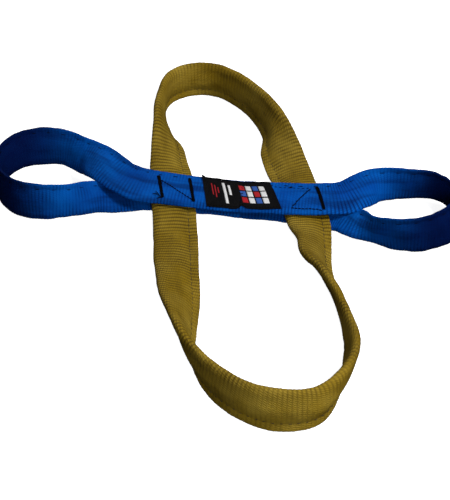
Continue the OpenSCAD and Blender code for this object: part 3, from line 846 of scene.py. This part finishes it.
# Generic marks: red and white bars, and a chart of plain white, red and blue cells.
marks = []
for k, (b0, b1) in enumerate([(0.20, 0.62), (0.26, 0.70), (0.34, 0.55)]):
    marks.append((0.115 + 0.040 * k, 0.130 + 0.040 * k, b0, b1, 1, 16, 1))
for k, (b0, b1) in enumerate([(0.14, 0.86), (0.22, 0.58)]):
    marks.append((0.275 + 0.075 * k, 0.315 + 0.070 * k, b0, b1, 2, 24, 0))
CHART = (0.50, 0.88, 0.18, 0.84)
cols, rows = 4, 3
for i in range(cols):
    for j in range(rows):
        a0 = CHART[0] + (CHART[1] - CHART[0]) * i / cols
        b0 = CHART[2] + (CHART[3] - CHART[2]) * j / rows
        slot = (0, 1, 0, 2)[(i + 2 * j + 1) % 4]
        marks.append((a0 + 0.008, a0 + 0.085, b0 + 0.018, b0 + 0.200, 4, 8, slot))
label_print = label_sheet("label_marks_woven", marks, MARKS_LOW, MARKS_HIGH,
                          [LABEL_WHITE, LABEL_RED, LABEL_BLUE])
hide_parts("label_print")
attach(label_print, "sewn_centre")


def label_edge_stitch(t):
    for b in (0.035, 0.955):
        for k in range(26):
            a = (k + 0.2) / 26
            pts = np.array([label_point(a + 0.024 * f, b, LABEL_THICK) for f in np.linspace(0, 1, 5)])
            pts[:, 2] += -0.12 + 0.30 * np.sin(np.linspace(0, np.pi, 5)) ** 0.5
            t.add(pts, np.tile([0, 0, 1.0], (5, 1)), 0.22)


sew("label_sewing", BLACK_THREAD, ["label_stitch"], label_edge_stitch)


def lap_stitches(t):
    for y in (-11, -4, 3, 10):
        pts, up = laid_line((15, y), (20, y), 6, 0.0)
        t.add(pts, up, 0.22)


sew("blue_lap_sewing", BLACK_THREAD, ["blue_lap_stitch"], lap_stitches)


def olive_lap(t):
    for x in (65.0, 73.0, 81.0):
        for z, way in ((6.7, -1), (14.5, 1)):
            pts = np.array([[x, y, z] for y in np.linspace(-3.5, 3.5, 6)], float)
            t.add(pts, np.tile([0, 0, float(way)], (6, 1)), 0.2)


sew("olive_lap_sewing", OLIVE_THREAD, ["olive_lap_stitch"], olive_lap)

# ---------------------------------------------------------------- seam threads and yarn

groups = [
    ("olive_seam_far_bend", olive, OLIVE_EDGE, 0.05, 14.95, 6.5,
     lambda t: 0.5 + 0.3 * bump_at(t, 14.0, 5.0), 0.28, 1.05, "far_bight",
     ["olive_thread_far"], OLIVE_THREAD, "olive_thread"),
    ("olive_seam_near_bend", olive, OLIVE_EDGE, 15.05, OLIVE_LAST - 0.05, 6.5,
     lambda t: 0.42 + 0.5 * bump_at(t, 17.0, 4.5) + 0.45 * bump_at(t, 34.0, 4.0), 0.32, 1.05,
     "near_bight", ["olive_thread_near", "olive_thread_left"], OLIVE_THREAD, "olive_thread"),
    ("blue_seam_left_half", blue, BLUE_EDGE, BLUE_JOINT, BLUE_JOINT_LOW, 14.0,
     lambda t: 0.32, 0.30, 0.9, "left_eye",
     ["blue_thread_left_eye", "blue_thread_top", "blue_thread_bottom"], BLACK_THREAD, "dark_thread"),
    ("blue_seam_right_half", blue, BLUE_EDGE, BLUE_JOINT_LOW, BLUE_JOINT, 14.0,
     lambda t: 0.40, 0.28, 0.9, "right_eye",
     ["blue_thread_right_eye"], BLACK_THREAD, "dark_thread"),
]
for name, band, edge, t0, t1, pitch, share, r, off, body, nodes, mat, slot in groups:
    obj = paint(seam_stitches(name, band, edge, t0, t1, pitch, share, r, off), mat)
    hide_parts(*nodes)
    bend(obj)

for name, band, edge, t0, t1, body, nodes in (
    ("olive_yarn_far_bend", olive, OLIVE_EDGE, 0.1, 14.9, "far_bight", ["olive_core_far"]),
    ("olive_yarn_near_bend", olive, OLIVE_EDGE, 15.0, OLIVE_LAST - 0.1, "near_bight",
     ["olive_core_near", "olive_core_left", "olive_core_right"]),
    ("blue_yarn_left_half", blue, BLUE_EDGE, BLUE_JOINT + 0.1, BLUE_JOINT_LOW - 0.1, "left_eye",
     ["blue_core_left_eye", "blue_core_top"]),
    ("blue_yarn_right_half", blue, BLUE_EDGE, BLUE_JOINT_LOW + 0.1, BLUE_JOINT - 0.1, "right_eye",
     ["blue_core_right_eye", "blue_core_bottom"]),
):
    obj = paint(yarn_core(name, band, edge, t0, t1), YARN)
    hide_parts(*nodes)
    bend(obj)

bend(olive_far)
bend(olive_near)
bend(blue_left)
bend(blue_right)

add_camera()
add_stage()
